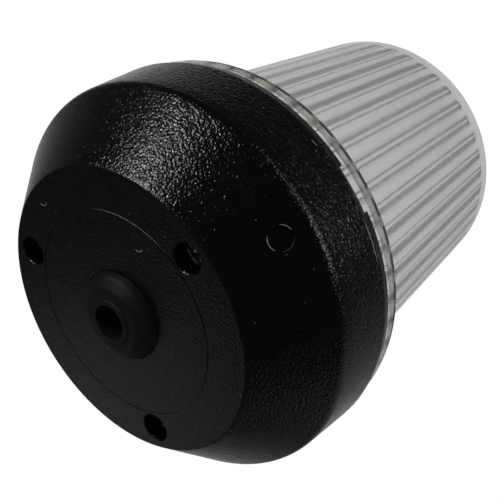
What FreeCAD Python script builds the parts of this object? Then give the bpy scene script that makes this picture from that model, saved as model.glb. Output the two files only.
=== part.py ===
"""Xenon warning beacon: bowl-shaped base, cable grommet, reeded clear lens and flash unit.

Millimetres. +Z runs up the lamp's axis, towards the crown of the lens. The origin is the
centre of the flat mounting face. Angles are in degrees about +Z, counted from +X.
"""
import FreeCAD, Part
import math
import os

V = FreeCAD.Vector
UP = V(0, 0, 1)
ORIGIN = V(0, 0, 0)

# ---- base housing: outside ----
FACE_R = 35.0            # flat mounting face
FACE_EDGE = 0.5          # rounding where the face meets the cone
RIM_R = 50.0             # widest ring, just under the lip
RIM_WALL = 3.8           # rim to the bore that takes the lens skirt
BAND_FLARE = 1.0         # the band widens by this much from the shoulder to the rim
SHOULDER_Z = 15.4        # where the cone turns into the band
SHOULDER_ROUND = 3.0
CREASE_Z = 30.4          # fine crease between band and lip
CREASE_WIDTH = 0.6
CREASE_DEPTH = 0.3
LIP_STEP = 0.2           # the lip stands this far inside the rim
LIP_TAPER = 0.4          # and draws in by this much to its top edge
LIP_ROUND = 0.5
RIM_Z = 33.1             # top of the lip, which the lens flange sits on

# ---- base housing: inside ----
WALL = 2.6               # cone wall, square to its surface
FLOOR = 3.0
RIB_ROOT_Z = 1.5         # pads, bosses and ribs are rooted at this depth in the floor
HOLLOW_FLOOR_ROUND = 1.0
HOLLOW_BORE_ROUND = 2.0

# ---- fixing holes ----
FIXING_COUNT = 3
FIXING_CIRCLE_R = 29.5
FIXING_HOLE_R = 3.5
FIXING_CHAMFER = 0.25    # broken edge at the mouth of each hole
FIXING_FIRST = 30.0
PAD_R = 6.5              # thickened pad round each hole
PAD_RISE = 1.0

# ---- board bosses, between the fixing holes ----
BOSS_CIRCLE_R = 31.0
BOSS_FIRST = 90.0
BOSS_R = 3.6
BOARD_SEAT_Z = 9.0
PILOT_R = 1.55
PILOT_DEPTH = 5.5
RIB_THICK = 1.4
FLOOR_RIB_RISE = 1.2
FLOOR_RIB_COUNT = 6
FLOOR_RING_R = 12.4      # ring rib round the grommet's inner flange

# ---- moulding marks ----
WITNESS_R = 25.2         # witness ring on the mounting face
WITNESS_WIDTH = 0.3
WITNESS_DEPTH = 0.12
PLUG_MARK_R = 2.6        # blanked drain hole on the cone
PLUG_MARK_DEPTH = 0.5
PLUG_MARK_BEVEL = 0.25
PLUG_MARK_Z = 10.4
PLUG_MARK_ANGLE = 279.7

# ---- lens ----
FLANGE_INSET = 0.8       # flange inside the rim
FLANGE_STEP_Z = 36.2
FLANGE_STEP = 0.35
FLANGE_STEP_ROUND = 0.15
FLANGE_TOP_Z = 37.8
FLANGE_ROUND = 0.3
FLANGE_LEDGE = 6.75      # flange's edge to the foot of the dome
DOME_TAPER = 4.15        # the dome narrows by this much up to the crown's rounding
CROWN_START_Z = 113.0
CROWN_ROUND = 7.0
FOOT_ROUND = 1.2
LENS_WALL = 2.4
REED_COUNT = 46
REED_RISE = 0.35          # broad reeds bulge inwards by this much
REED_GROOVE_WIDTH = 2.0  # narrow groove between two reeds
REED_GROOVE_DEPTH = 0.6
REED_END_DROP = 1.0      # the reeds stop this far below the crown's rounding
REED_FIRST = 0.0         # angle of the first groove
SKIRT_WALL = 3.0
SKIRT_Z = 25.1           # lower end of the skirt
SKIRT_CLEARANCE = 0.3    # skirt to the bore of the base
SKIRT_LEAD_IN = 0.6

# ---- lug and notch ----
LUG_ANGLE = 278.7
NOTCH_WIDTH = 11.3
NOTCH_DEPTH = 1.8
LUG_CLEARANCE = 0.3

# ---- lens seal ----
SEAL_SECTION_R = 0.95
SEAL_Z = 28.4
SEAL_GROOVE_WIDTH = 2.2
SEAL_GAP = 0.25          # seal to the bore of the base

# ---- grommet ----
GROMMET_FOOT_R = 10.8
GROMMET_SEAT_DEPTH = 0.4 # the foot sits in a shallow counterbore of the mounting face
GROMMET_SEAT_GAP = 0.2
GROMMET_SIDE_R = 10.2
GROMMET_SIDE_Z = 1.5     # the steep side turns here into the domed nose
GROMMET_NOSE_R = 7.6
GROMMET_PROUD = 3.4
GROMMET_ROUND = 2.5
GROMMET_LIP_R = 5.2
GROMMET_LIP_SLOPE = 0.5
GROMMET_LIP_RISE = 0.4
GROMMET_LIP_ROUND = 0.3
CABLE_BORE_R = 4.3
NECK_R = 6.9
NECK_CLEARANCE = 0.1
INNER_FLANGE_R = 9.2
INNER_FLANGE_THICK = 2.0
INNER_FLANGE_ROUND = 0.6

# ---- circuit board ----
BOARD_GAP = 2.7          # board's edge to the inside of the cone
BOARD_THICK = 1.6
ACCESS_WIDTH = 11.5      # notches in the board over the fixing holes
ACCESS_INNER_R = 20.5
CABLE_HOLE_R = 5.5

# ---- standoffs and reflector plate ----
STANDOFF_FLATS = 5.5
STANDOFF_LENGTH = 16.4
STUD_R = 1.5
STUD_LENGTH = 5.0
PLATE_GAP = 0.9          # plate to the inside of the skirt
PLATE_THICK = 1.6
PLATE_WINDOW_R = 5.8
PLATE_RIM_RISE = 1.6
PLATE_RIM_ROUND = 0.4
CONE_FOOT_R = 22.0       # reflector cone in the middle of the plate
CONE_TOP_R = 12.5
CONE_RISE = 6.0
CONE_TOP_ROUND = 0.6
SCREW_R = 1.4
SCREW_HEAD_R = 2.8
SCREW_HEAD_HEIGHT = 1.9
SCREW_HEAD_ROUND = 1.1
SCREW_SLOT_LENGTH = 3.6
SCREW_LENGTH = 6.0       # below the head
THREAD_SPARE = 1.0       # each threaded hole is this much deeper than its screw

# ---- tube holder and flash tube ----
HOLDER_R = 9.0
HOLDER_FLANGE_R = 11.0
HOLDER_FLANGE_THICK = 2.0
HOLDER_BELOW = 6.0
HOLDER_ABOVE = 5.5
HOLDER_CLEARANCE = 0.15
HOLDER_EDGE_ROUND = 0.5
HOLDER_TOP_ROUND = 0.8
TUBE_R = 2.5
TUBE_BORE_R = 1.7
TUBE_SPACING = 10.0
TUBE_STRAIGHT = 26.5
SOCKET_DEPTH = 5.0
SOCKET_CLEARANCE = 0.1
ELECTRODE_LENGTH = 8.0
ELECTRODE_CLEARANCE = 0.05
ELECTRODE_TIP_R = 1.2
TRIGGER_WIRE_R = 0.22
TRIGGER_TURNS = 6
TRIGGER_PITCH = 2.6
TRIGGER_START = 4.0      # first turn above the holder
LEAD_WIRE_R = 0.6
LEAD_PLACES = [(-5.0, 6.0), (5.0, 6.0), (0.0, -7.6)]

# ---- electronics: places on the board and body sizes ----
CORE_TO_PILLAR = 1.2     # end of the core to the pillar beside it
CORE_Y = -11.0
CORE_LENGTH = 16.0
CORE_WIDTH = 6.0
CORE_HEIGHT = 13.0
CORE_LIMB = 3.2
BOBBIN_WIDTH = 13.6
BOBBIN_FLANGE = 1.0
BOBBIN_FOOT = 1.0
BOBBIN_GAP = 0.1         # bobbin to the core around it
WINDING_MARGIN = 0.5
WINDING_ROUND = 1.0
CAPACITOR_PLACE = (0.0, 17.5)
CAPACITOR_R = 6.2
CAPACITOR_LENGTH = 24.0
CAPACITOR_ROUND = 0.8
CAPACITOR_CRIMP = 0.4
CAPACITOR_CRIMP_WIDTH = 1.6
CAPACITOR_CRIMP_FROM_END = 3.0
CAPACITOR_LEAD_SPACING = 5.0
CAPACITOR_LEAD_REACH = 1.6
COIL_PLACE = (18.5, -5.0)
COIL_R = 4.0
COIL_HEIGHT = 11.0
COIL_CHEEK = 1.2         # thick ends of the coil's former
COIL_WAIST = 0.5
COIL_DIMPLE_R = 1.2
COIL_DIMPLE_DEPTH = 0.8
COIL_ROUND = 0.4
FILM_PLACE = (14.0, -14.5)
FILM_SIZE = (10.0, 5.0, 9.0)
FILM_ROUND = 0.8
CHIP_PLACE = (2.0, -15.2)
CHIP_SIZE = (9.6, 6.4, 3.3)
CHIP_STAND = 0.6
CHIP_KEY_R = 0.8
CHIP_KEY_DEPTH = 0.4
CHIP_SIDE_PINS = 4
CHIP_PIN_REACH = 0.9
CHIP_PITCH = 2.54
CHIP_PIN_WIDTH = 0.6
CHIP_PIN_THICK = 0.3
TRANSISTOR_PLACE = (-12.2, 5.4)
TRANSISTOR_SIZE = (10.0, 3.2, 9.0)
TRANSISTOR_STAND = 2.6
TAB_THICK = 1.3
TAB_RISE = 3.6
TAB_HOLE_R = 1.5
TAB_HOLE_FROM_TOP = 2.2
LEG_WIDTH = 0.8
LEG_PITCH = 2.54
BLOCK_PLACE = (12.6, 4.3)
BLOCK_SIZE = (10.0, 7.6, 9.0)
BLOCK_WAYS = 2
BLOCK_SCREW_R = 1.6
BLOCK_SCREW_HEIGHT = 1.4
BLOCK_SCREW_SUNK = 1.0
BLOCK_SCREW_GAP = 0.15
BLOCK_ENTRY_R = 1.4
BLOCK_ENTRY_RISE = 2.6
BLOCK_ENTRY_DEPTH = 3.0
SLOT_WIDTH = 0.6
SLOT_DEPTH = 0.8
AXIAL_SPAN = 9.6         # lead spacing of the axial parts
AXIAL_WIRE_R = 0.35
AXIAL_ROUND = 0.5
DIODE_FROM_EDGE = 6.6    # outer diode to the board's edge
DIODE_SPACING = 3.9
DIODE_Y = -3.6
DIODE_R = 1.4
DIODE_LENGTH = 5.0
RESISTOR_FROM_EDGE = 6.0 # outer resistor on the +X side to the board's edge
RESISTOR_SPACING = 3.6
RESISTOR_Y = -4.4
PAIR_FROM_EDGE = 8.6     # pair of resistors on the +Y side to the board's edge
PAIR_HALF_SPACING = 9.6
RESISTOR_R = 1.2
RESISTOR_LENGTH = 6.0
RESISTOR_WAIST = 0.25

# ---- sizes worked out from the ones above ----
SHOULDER_R = RIM_R - BAND_FLARE
LIP_R = RIM_R - LIP_STEP - LIP_TAPER
BORE_R = RIM_R - RIM_WALL
SKIRT_R = BORE_R - SKIRT_CLEARANCE
FLANGE_R = RIM_R - FLANGE_INSET
DOME_FOOT_R = FLANGE_R - FLANGE_LEDGE
DOME_CROWN_R = DOME_FOOT_R - DOME_TAPER
PLATE_R = SKIRT_R - SKIRT_WALL - PLATE_GAP
CONE_SLOPE = (SHOULDER_R - FACE_R) / SHOULDER_Z
CONE_WALL_ACROSS = WALL * math.hypot(1.0, CONE_SLOPE)
BOARD_R = FACE_R + CONE_SLOPE * BOARD_SEAT_Z - CONE_WALL_ACROSS - BOARD_GAP
BOARD_TOP_Z = BOARD_SEAT_Z + BOARD_THICK
PLATE_Z = BOARD_TOP_Z + STANDOFF_LENGTH
PLATE_TOP_Z = PLATE_Z + PLATE_THICK
HUB_TOP_Z = PLATE_TOP_Z + CONE_RISE
HOLDER_TOP_Z = HUB_TOP_Z + HOLDER_FLANGE_THICK + HOLDER_ABOVE
TUBE_FOOT_Z = HOLDER_TOP_Z - SOCKET_DEPTH
CROWN_Z = CROWN_START_Z + CROWN_ROUND
PILLAR_CORNER_R = STANDOFF_FLATS / 2 / math.cos(math.radians(30))
PILLAR_X = BOSS_CIRCLE_R * math.cos(math.radians(BOSS_FIRST + 120))
CORE_PLACE = (PILLAR_X + PILLAR_CORNER_R + CORE_TO_PILLAR + CORE_LENGTH / 2, CORE_Y)
DIODE_X = DIODE_FROM_EDGE - BOARD_R
DIODE_PLACES = [(DIODE_X, DIODE_Y, 90.0), (DIODE_X + DIODE_SPACING, DIODE_Y, 90.0)]
RESISTOR_X = BOARD_R - RESISTOR_FROM_EDGE
PAIR_Y = BOARD_R - PAIR_FROM_EDGE
RESISTOR_PLACES = [
    (RESISTOR_X, RESISTOR_Y, 90.0),
    (RESISTOR_X - RESISTOR_SPACING, RESISTOR_Y, 90.0),
    (PAIR_HALF_SPACING, PAIR_Y, 0.0),
    (-PAIR_HALF_SPACING, PAIR_Y, 0.0),
]


# ---- helpers ----
LARGEST_REACH = 0.48     # a corner's rounding uses at most this share of the shorter side


def corner_arc(before, corner, after, radius):
    """Start, middle and end of the tangent arc that rounds one corner of an outline."""
    to_before = before.sub(corner)
    to_after = after.sub(corner)
    shortest = min(to_before.Length, to_after.Length)
    to_before.normalize()
    to_after.normalize()
    half = to_before.getAngle(to_after) / 2
    reach = min(radius / math.tan(half), LARGEST_REACH * shortest)
    radius = reach * math.tan(half)
    middle_way = to_before.add(to_after).normalize()
    start = corner.add(to_before * reach)
    middle = corner.add(middle_way * (radius / math.sin(half) - radius))
    end = corner.add(to_after * reach)
    return start, middle, end


def outline(corners):
    """Closed wire in the XZ plane from (x, z) or (x, z, rounding) corners."""
    points = [V(c[0], 0, c[1]) for c in corners]
    rounding = [c[2] if len(c) > 2 else 0 for c in corners]
    count = len(points)
    pieces = []
    for i in range(count):
        if rounding[i] > 0:
            pieces.append(corner_arc(points[i - 1], points[i], points[(i + 1) % count], rounding[i]))
        else:
            pieces.append((points[i],))
    edges = []
    for i in range(count):
        if len(pieces[i]) == 3:
            edges.append(Part.Arc(*pieces[i]).toShape())
        end = pieces[i][-1]
        start = pieces[(i + 1) % count][0]
        if end.distanceToPoint(start) > 1e-6:
            edges.append(Part.LineSegment(end, start).toShape())
    return Part.Wire(edges)


def turned(corners):
    """Solid of revolution about Z from an outline in the XZ plane."""
    return Part.Face(outline(corners)).revolve(ORIGIN, UP, 360)


def disc(radius, z_low, z_high, x=0.0, y=0.0):
    return Part.makeCylinder(radius, z_high - z_low, V(x, y, z_low))


def block(size, centre, z_low):
    """Box of (x, y, z) size, centred in plan, standing at z_low."""
    corner = V(centre[0] - size[0] / 2, centre[1] - size[1] / 2, z_low)
    return Part.makeBox(size[0], size[1], size[2], corner)


def polar(radius, angle):
    return radius * math.cos(math.radians(angle)), radius * math.sin(math.radians(angle))


def turned_to(shape, angle):
    """Copy of a shape turned about Z."""
    copy = shape.copy()
    copy.rotate(ORIGIN, UP, angle)
    return copy


def ring_of(shape, count, first):
    """Copies of a shape drawn on the +X side, spread evenly about Z."""
    return [turned_to(shape, first + i * 360.0 / count) for i in range(count)]


def sector(inner, outer, z_low, z_high, width, angle):
    """Piece of a ring, centred on an angle, with its width measured along the outer edge."""
    sweep = math.degrees(width / outer)
    ring = disc(outer, z_low, z_high).cut(disc(inner, z_low, z_high))
    wedge = Part.makeCylinder(outer + 1, z_high - z_low, V(0, 0, z_low), UP, sweep)
    return ring.common(turned_to(wedge, angle - sweep / 2))


def cone_radius(z):
    """Outside radius of the base's cone at a height."""
    return FACE_R + CONE_SLOPE * z


# ---- base ----
def base_envelope():
    """Outside of the base, filled solid."""
    return turned([
        (0, 0),
        (FACE_R, 0, FACE_EDGE),
        (SHOULDER_R, SHOULDER_Z, SHOULDER_ROUND),
        (RIM_R, CREASE_Z - CREASE_WIDTH / 2),
        (RIM_R - CREASE_DEPTH, CREASE_Z),
        (RIM_R - LIP_STEP, CREASE_Z + CREASE_WIDTH / 2),
        (LIP_R, RIM_Z, LIP_ROUND),
        (0, RIM_Z),
    ])


def base_hollow():
    """Inside of the base: flat floor, cone parallel to the outside, straight bore."""
    floor_r = cone_radius(FLOOR) - CONE_WALL_ACROSS
    bore_foot_z = (BORE_R + CONE_WALL_ACROSS - FACE_R) / CONE_SLOPE
    return turned([
        (0, FLOOR),
        (floor_r, FLOOR, HOLLOW_FLOOR_ROUND),
        (BORE_R, bore_foot_z, HOLLOW_BORE_ROUND),
        (BORE_R, RIM_Z + 1),
        (0, RIM_Z + 1),
    ])


def base_inner_ribs():
    """Bosses with their gussets, pads, ring rib and floor ribs, cut to the base's outside."""
    rib_top_z = FLOOR + FLOOR_RIB_RISE
    boss = disc(BOSS_R, RIB_ROOT_Z, BOARD_SEAT_Z, BOSS_CIRCLE_R)
    gusset = block((RIM_R - BOSS_CIRCLE_R, RIB_THICK, BOARD_SEAT_Z - FLOOR),
                   ((RIM_R + BOSS_CIRCLE_R) / 2, 0), RIB_ROOT_Z)
    pad = disc(PAD_R, RIB_ROOT_Z, FLOOR + PAD_RISE, FIXING_CIRCLE_R)
    ring = disc(FLOOR_RING_R, RIB_ROOT_Z, rib_top_z)
    ring = ring.cut(disc(FLOOR_RING_R - RIB_THICK, 0, rib_top_z))
    rib_start = FLOOR_RING_R - RIB_THICK / 2
    rib_end = FIXING_CIRCLE_R - PAD_R / 2
    rib = block((rib_end - rib_start, RIB_THICK, rib_top_z - RIB_ROOT_Z),
                ((rib_end + rib_start) / 2, 0), RIB_ROOT_Z)
    pieces = [ring]
    pieces += ring_of(boss.fuse(gusset), FIXING_COUNT, BOSS_FIRST)
    pieces += ring_of(pad, FIXING_COUNT, FIXING_FIRST)
    pieces += ring_of(rib, FLOOR_RIB_COUNT, FIXING_FIRST)
    envelope = base_envelope()
    return [piece.common(envelope) for piece in pieces]


def witness_ring():
    """Shallow ring cut into the mounting face."""
    outer = disc(WITNESS_R + WITNESS_WIDTH / 2, -1, WITNESS_DEPTH)
    return outer.cut(disc(WITNESS_R - WITNESS_WIDTH / 2, -1, WITNESS_DEPTH))


def fixing_hole():
    """Cutter for one fixing hole, with its broken edge, drawn on the +X side."""
    hole = disc(FIXING_HOLE_R, -1, BOARD_SEAT_Z, FIXING_CIRCLE_R)
    mouth = Part.makeCone(FIXING_HOLE_R + 2 * FIXING_CHAMFER, FIXING_HOLE_R, 2 * FIXING_CHAMFER,
                          V(FIXING_CIRCLE_R, 0, -FIXING_CHAMFER))
    return hole.fuse(mouth)


def plug_mark():
    """Cutter that sinks the blanked drain hole, with its bevel, square into the cone."""
    x, y = polar(cone_radius(PLUG_MARK_Z), PLUG_MARK_ANGLE)
    out_x, out_y = polar(1.0, PLUG_MARK_ANGLE)
    outward = V(out_x, out_y, -CONE_SLOPE).normalize()
    surface = V(x, y, PLUG_MARK_Z)
    foot = surface.sub(outward * PLUG_MARK_DEPTH)
    recess = Part.makeCylinder(PLUG_MARK_R, PLUG_MARK_DEPTH + 3, foot, outward)
    bevel = Part.makeCone(PLUG_MARK_R, PLUG_MARK_R + 2 * PLUG_MARK_BEVEL, 2 * PLUG_MARK_BEVEL,
                          surface.sub(outward * PLUG_MARK_BEVEL), outward)
    return recess.fuse(bevel)


def base_housing():
    shell = base_envelope().cut(base_hollow())
    shell = shell.fuse(base_inner_ribs())
    cuts = ring_of(fixing_hole(), FIXING_COUNT, FIXING_FIRST)
    pilot = disc(PILOT_R, BOARD_SEAT_Z - PILOT_DEPTH, BOARD_SEAT_Z + 1, BOSS_CIRCLE_R)
    cuts += ring_of(pilot, FIXING_COUNT, BOSS_FIRST)
    cuts.append(disc(NECK_R + NECK_CLEARANCE, -1, FLOOR + 1))
    cuts.append(disc(GROMMET_FOOT_R + GROMMET_SEAT_GAP, -1, GROMMET_SEAT_DEPTH))
    cuts.append(witness_ring())
    cuts.append(plug_mark())
    cuts.append(sector(BORE_R - 1, RIM_R + 1, RIM_Z - NOTCH_DEPTH, RIM_Z + 1,
                       NOTCH_WIDTH * (RIM_R + 1) / RIM_R, LUG_ANGLE))
    return shell.cut(cuts).removeSplitter()


def cable_grommet():
    """Rubber grommet: nose outside, neck through the floor, flange inside, cable bore."""
    nose_z = -GROMMET_PROUD
    return turned([
        (CABLE_BORE_R, nose_z - GROMMET_LIP_RISE),
        (GROMMET_LIP_R, nose_z - GROMMET_LIP_RISE, GROMMET_LIP_ROUND),
        (GROMMET_LIP_R + GROMMET_LIP_SLOPE, nose_z, GROMMET_LIP_ROUND),
        (GROMMET_NOSE_R, nose_z, GROMMET_ROUND),
        (GROMMET_SIDE_R, -GROMMET_SIDE_Z, GROMMET_ROUND),
        (GROMMET_FOOT_R, 0),
        (GROMMET_FOOT_R, GROMMET_SEAT_DEPTH),
        (NECK_R, GROMMET_SEAT_DEPTH),
        (NECK_R, FLOOR),
        (INNER_FLANGE_R, FLOOR),
        (INNER_FLANGE_R, FLOOR + INNER_FLANGE_THICK, INNER_FLANGE_ROUND),
        (CABLE_BORE_R, FLOOR + INNER_FLANGE_THICK),
    ])


# ---- lens ----
def dome_radius(z):
    """Outside radius of the tapered dome at a height."""
    share = (z - FLANGE_TOP_Z) / (CROWN_START_Z - FLANGE_TOP_Z)
    return DOME_FOOT_R + (DOME_CROWN_R - DOME_FOOT_R) * share


def lens_envelope():
    """Outside of the lens, filled solid: skirt, stepped flange, tapered dome, rounded crown."""
    return turned([
        (0, SKIRT_Z),
        (SKIRT_R, SKIRT_Z, SKIRT_LEAD_IN),
        (SKIRT_R, RIM_Z),
        (FLANGE_R, RIM_Z),
        (FLANGE_R, FLANGE_STEP_Z, FLANGE_STEP_ROUND),
        (FLANGE_R - FLANGE_STEP, FLANGE_STEP_Z),
        (FLANGE_R - FLANGE_STEP, FLANGE_TOP_Z, FLANGE_ROUND),
        (DOME_FOOT_R, FLANGE_TOP_Z, FOOT_ROUND),
        (dome_radius(CROWN_Z), CROWN_Z, CROWN_ROUND),
        (0, CROWN_Z),
    ])


def reeded_wire(wall_r, z):
    """Closed wire of arcs: narrow grooves cut outwards, with a broad reed between each two."""
    pitch = 360.0 / REED_COUNT
    half_groove = math.degrees(REED_GROOVE_WIDTH / 2 / wall_r)
    edges = []
    for i in range(REED_COUNT):
        angle = REED_FIRST + i * pitch
        groove_start = V(*polar(wall_r, angle - half_groove), z)
        groove_bottom = V(*polar(wall_r + REED_GROOVE_DEPTH, angle), z)
        reed_start = V(*polar(wall_r, angle + half_groove), z)
        reed_crest = V(*polar(wall_r - REED_RISE, angle + pitch / 2), z)
        reed_end = V(*polar(wall_r, angle + pitch - half_groove), z)
        edges.append(Part.Arc(groove_start, groove_bottom, reed_start).toShape())
        edges.append(Part.Arc(reed_start, reed_crest, reed_end).toShape())
    return Part.Wire(edges)


def lens_hollow():
    """Inside of the lens: plain skirt bore, reeded dome, rounded crown."""
    web_z = FLANGE_TOP_Z - LENS_WALL
    reed_end_z = CROWN_START_Z - REED_END_DROP
    skirt_bore = disc(SKIRT_R - SKIRT_WALL, SKIRT_Z - 1, web_z)
    foot = reeded_wire(dome_radius(web_z) - LENS_WALL, web_z)
    head = reeded_wire(dome_radius(reed_end_z) - LENS_WALL, reed_end_z)
    reeds = Part.makeLoft([foot, head], True, True)
    crest_r = dome_radius(reed_end_z) - LENS_WALL - REED_RISE
    crown = turned([
        (0, web_z),
        (crest_r - 1, web_z),
        (crest_r, reed_end_z - REED_END_DROP),
        (crest_r, CROWN_Z - LENS_WALL, CROWN_ROUND - LENS_WALL),
        (0, CROWN_Z - LENS_WALL),
    ])
    return skirt_bore.fuse([reeds, crown])


def seal_groove():
    low = SEAL_Z - SEAL_GROOVE_WIDTH / 2
    high = SEAL_Z + SEAL_GROOVE_WIDTH / 2
    bottom_r = BORE_R - SEAL_GAP - 2 * SEAL_SECTION_R
    return disc(SKIRT_R + 1, low, high).cut(disc(bottom_r, low, high))


def lens():
    lug = sector(SKIRT_R - 1, FLANGE_R, RIM_Z - NOTCH_DEPTH + LUG_CLEARANCE, RIM_Z,
                 NOTCH_WIDTH - 2 * LUG_CLEARANCE, LUG_ANGLE)
    body = lens_envelope().fuse(lug)
    return body.cut([lens_hollow(), seal_groove()]).removeSplitter()


def lens_seal():
    """Round-section rubber ring in the skirt's groove."""
    return Part.makeTorus(BORE_R - SEAL_GAP - SEAL_SECTION_R, SEAL_SECTION_R, V(0, 0, SEAL_Z))


# ---- board, standoffs, reflector plate ----
def circuit_board():
    board = disc(BOARD_R, BOARD_SEAT_Z, BOARD_TOP_Z)
    notch_size = (BOARD_R, ACCESS_WIDTH, BOARD_THICK + 2)
    notch = block(notch_size, (ACCESS_INNER_R + BOARD_R / 2, 0), BOARD_SEAT_Z - 1)
    cuts = ring_of(notch, FIXING_COUNT, FIXING_FIRST)
    screw_hole = disc(PILOT_R, BOARD_SEAT_Z - 1, BOARD_TOP_Z + 1, BOSS_CIRCLE_R)
    cuts += ring_of(screw_hole, FIXING_COUNT, BOSS_FIRST)
    cuts.append(disc(CABLE_HOLE_R, BOARD_SEAT_Z - 1, BOARD_TOP_Z + 1))
    return board.cut(cuts)


def hexagon(corner_r, z_low, z_high):
    """Hexagonal bar on the Z axis, with a corner on +X."""
    corners = [V(*polar(corner_r, 60.0 * i), z_low) for i in range(7)]
    return Part.Face(Part.makePolygon(corners)).extrude(V(0, 0, z_high - z_low))


def board_standoffs():
    """Hexagonal pillars: a stud below holds the board to its boss, a thread above takes a screw."""
    pillar = hexagon(PILLAR_CORNER_R, BOARD_TOP_Z, PLATE_Z)
    pillar = pillar.fuse(disc(STUD_R, BOARD_SEAT_Z - STUD_LENGTH, BOARD_TOP_Z + STUD_R))
    pillar = pillar.cut(disc(STUD_R, PLATE_TOP_Z - SCREW_LENGTH - THREAD_SPARE, PLATE_Z + 1))
    pillar.translate(V(BOSS_CIRCLE_R, 0, 0))
    return Part.makeCompound(ring_of(pillar, FIXING_COUNT, BOSS_FIRST))


def reflector_plate():
    """White plate that closes the base: flat ring, raised rim and a cone round the tube."""
    cone_angle = math.atan2(CONE_RISE, CONE_FOOT_R - CONE_TOP_R)
    slant = PLATE_THICK * math.tan(cone_angle / 2)
    hole_r = HOLDER_R + HOLDER_CLEARANCE
    plate = turned([
        (hole_r, HUB_TOP_Z - PLATE_THICK),
        (CONE_TOP_R - slant, HUB_TOP_Z - PLATE_THICK),
        (CONE_FOOT_R - slant, PLATE_Z),
        (PLATE_R, PLATE_Z),
        (PLATE_R, PLATE_TOP_Z + PLATE_RIM_RISE, PLATE_RIM_ROUND),
        (PLATE_R - PLATE_THICK, PLATE_TOP_Z + PLATE_RIM_RISE, PLATE_RIM_ROUND),
        (PLATE_R - PLATE_THICK, PLATE_TOP_Z),
        (CONE_FOOT_R, PLATE_TOP_Z),
        (CONE_TOP_R, HUB_TOP_Z, CONE_TOP_ROUND),
        (hole_r, HUB_TOP_Z),
    ])
    window = disc(PLATE_WINDOW_R, PLATE_Z - 1, PLATE_TOP_Z + 1, FIXING_CIRCLE_R)
    screw_hole = disc(PILOT_R, PLATE_Z - 1, PLATE_TOP_Z + 1, BOSS_CIRCLE_R)
    cuts = ring_of(window, FIXING_COUNT, FIXING_FIRST)
    cuts += ring_of(screw_hole, FIXING_COUNT, BOSS_FIRST)
    return plate.cut(cuts)


def plate_screws():
    """Pan-head screws with a cross slot."""
    top = PLATE_TOP_Z + SCREW_HEAD_HEIGHT
    screw = turned([
        (0, PLATE_TOP_Z - SCREW_LENGTH),
        (SCREW_R, PLATE_TOP_Z - SCREW_LENGTH),
        (SCREW_R, PLATE_TOP_Z),
        (SCREW_HEAD_R, PLATE_TOP_Z),
        (SCREW_HEAD_R, top, SCREW_HEAD_ROUND),
        (0, top),
    ])
    slot = (SCREW_SLOT_LENGTH, SLOT_WIDTH, SLOT_DEPTH)
    across = (SLOT_WIDTH, SCREW_SLOT_LENGTH, SLOT_DEPTH)
    screw = screw.cut([block(slot, (0, 0), top - SLOT_DEPTH), block(across, (0, 0), top - SLOT_DEPTH)])
    screw.translate(V(BOSS_CIRCLE_R, 0, 0))
    return Part.makeCompound(ring_of(screw, FIXING_COUNT, BOSS_FIRST))


# ---- flash tube ----
def tube_holder():
    """Ceramic holder: body through the plate's hub, flange on top, two sockets for the tube."""
    holder = turned([
        (0, HUB_TOP_Z - HOLDER_BELOW),
        (HOLDER_R, HUB_TOP_Z - HOLDER_BELOW, HOLDER_EDGE_ROUND),
        (HOLDER_R, HUB_TOP_Z),
        (HOLDER_FLANGE_R, HUB_TOP_Z),
        (HOLDER_FLANGE_R, HUB_TOP_Z + HOLDER_FLANGE_THICK, HOLDER_EDGE_ROUND),
        (HOLDER_R, HUB_TOP_Z + HOLDER_FLANGE_THICK),
        (HOLDER_R, HOLDER_TOP_Z, HOLDER_TOP_ROUND),
        (0, HOLDER_TOP_Z),
    ])
    sockets = [disc(TUBE_R + SOCKET_CLEARANCE, TUBE_FOOT_Z, HOLDER_TOP_Z + 1, side * TUBE_SPACING / 2)
               for side in (-1, 1)]
    return holder.cut(sockets)


def tube_path():
    """U-shaped centre line of the flash tube."""
    half = TUBE_SPACING / 2
    bend_z = TUBE_FOOT_Z + TUBE_STRAIGHT
    left = Part.LineSegment(V(-half, 0, TUBE_FOOT_Z), V(-half, 0, bend_z)).toShape()
    bend = Part.Arc(V(-half, 0, bend_z), V(0, 0, bend_z + half), V(half, 0, bend_z)).toShape()
    right = Part.LineSegment(V(half, 0, bend_z), V(half, 0, TUBE_FOOT_Z)).toShape()
    return Part.Wire([left, bend, right])


def swept_tube(radius):
    ring = Part.Wire(Part.Circle(V(-TUBE_SPACING / 2, 0, TUBE_FOOT_Z), UP, radius).toShape())
    return tube_path().makePipeShell([ring], True, False)


def flash_tube():
    return swept_tube(TUBE_R).cut(swept_tube(TUBE_BORE_R))


def tube_electrodes():
    """Metal plugs that close both ends of the tube's bore."""
    plug_r = TUBE_BORE_R - ELECTRODE_CLEARANCE
    plug = disc(plug_r, TUBE_FOOT_Z, TUBE_FOOT_Z + ELECTRODE_LENGTH, TUBE_SPACING / 2)
    tip = Part.makeSphere(ELECTRODE_TIP_R, V(TUBE_SPACING / 2, 0, TUBE_FOOT_Z + ELECTRODE_LENGTH))
    return Part.makeCompound(ring_of(plug.fuse(tip), 2, 0.0))


def trigger_wire():
    """Fine wire coiled round one leg of the tube."""
    coil_r = TUBE_R + TRIGGER_WIRE_R
    helix = Part.makeHelix(TRIGGER_PITCH, TRIGGER_PITCH * TRIGGER_TURNS, coil_r)
    ring = Part.Wire(Part.Circle(V(coil_r, 0, 0), V(0, 1, 0), TRIGGER_WIRE_R).toShape())
    coil = Part.Wire(helix).makePipeShell([ring], True, True)
    coil.translate(V(TUBE_SPACING / 2, 0, HOLDER_TOP_Z + TRIGGER_START))
    return coil


def tube_leads():
    """Sleeved wires that climb from the board to the underside of the holder."""
    top = HUB_TOP_Z - HOLDER_BELOW
    return Part.makeCompound([disc(LEAD_WIRE_R, BOARD_TOP_Z, top, x, y) for x, y in LEAD_PLACES])


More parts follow.
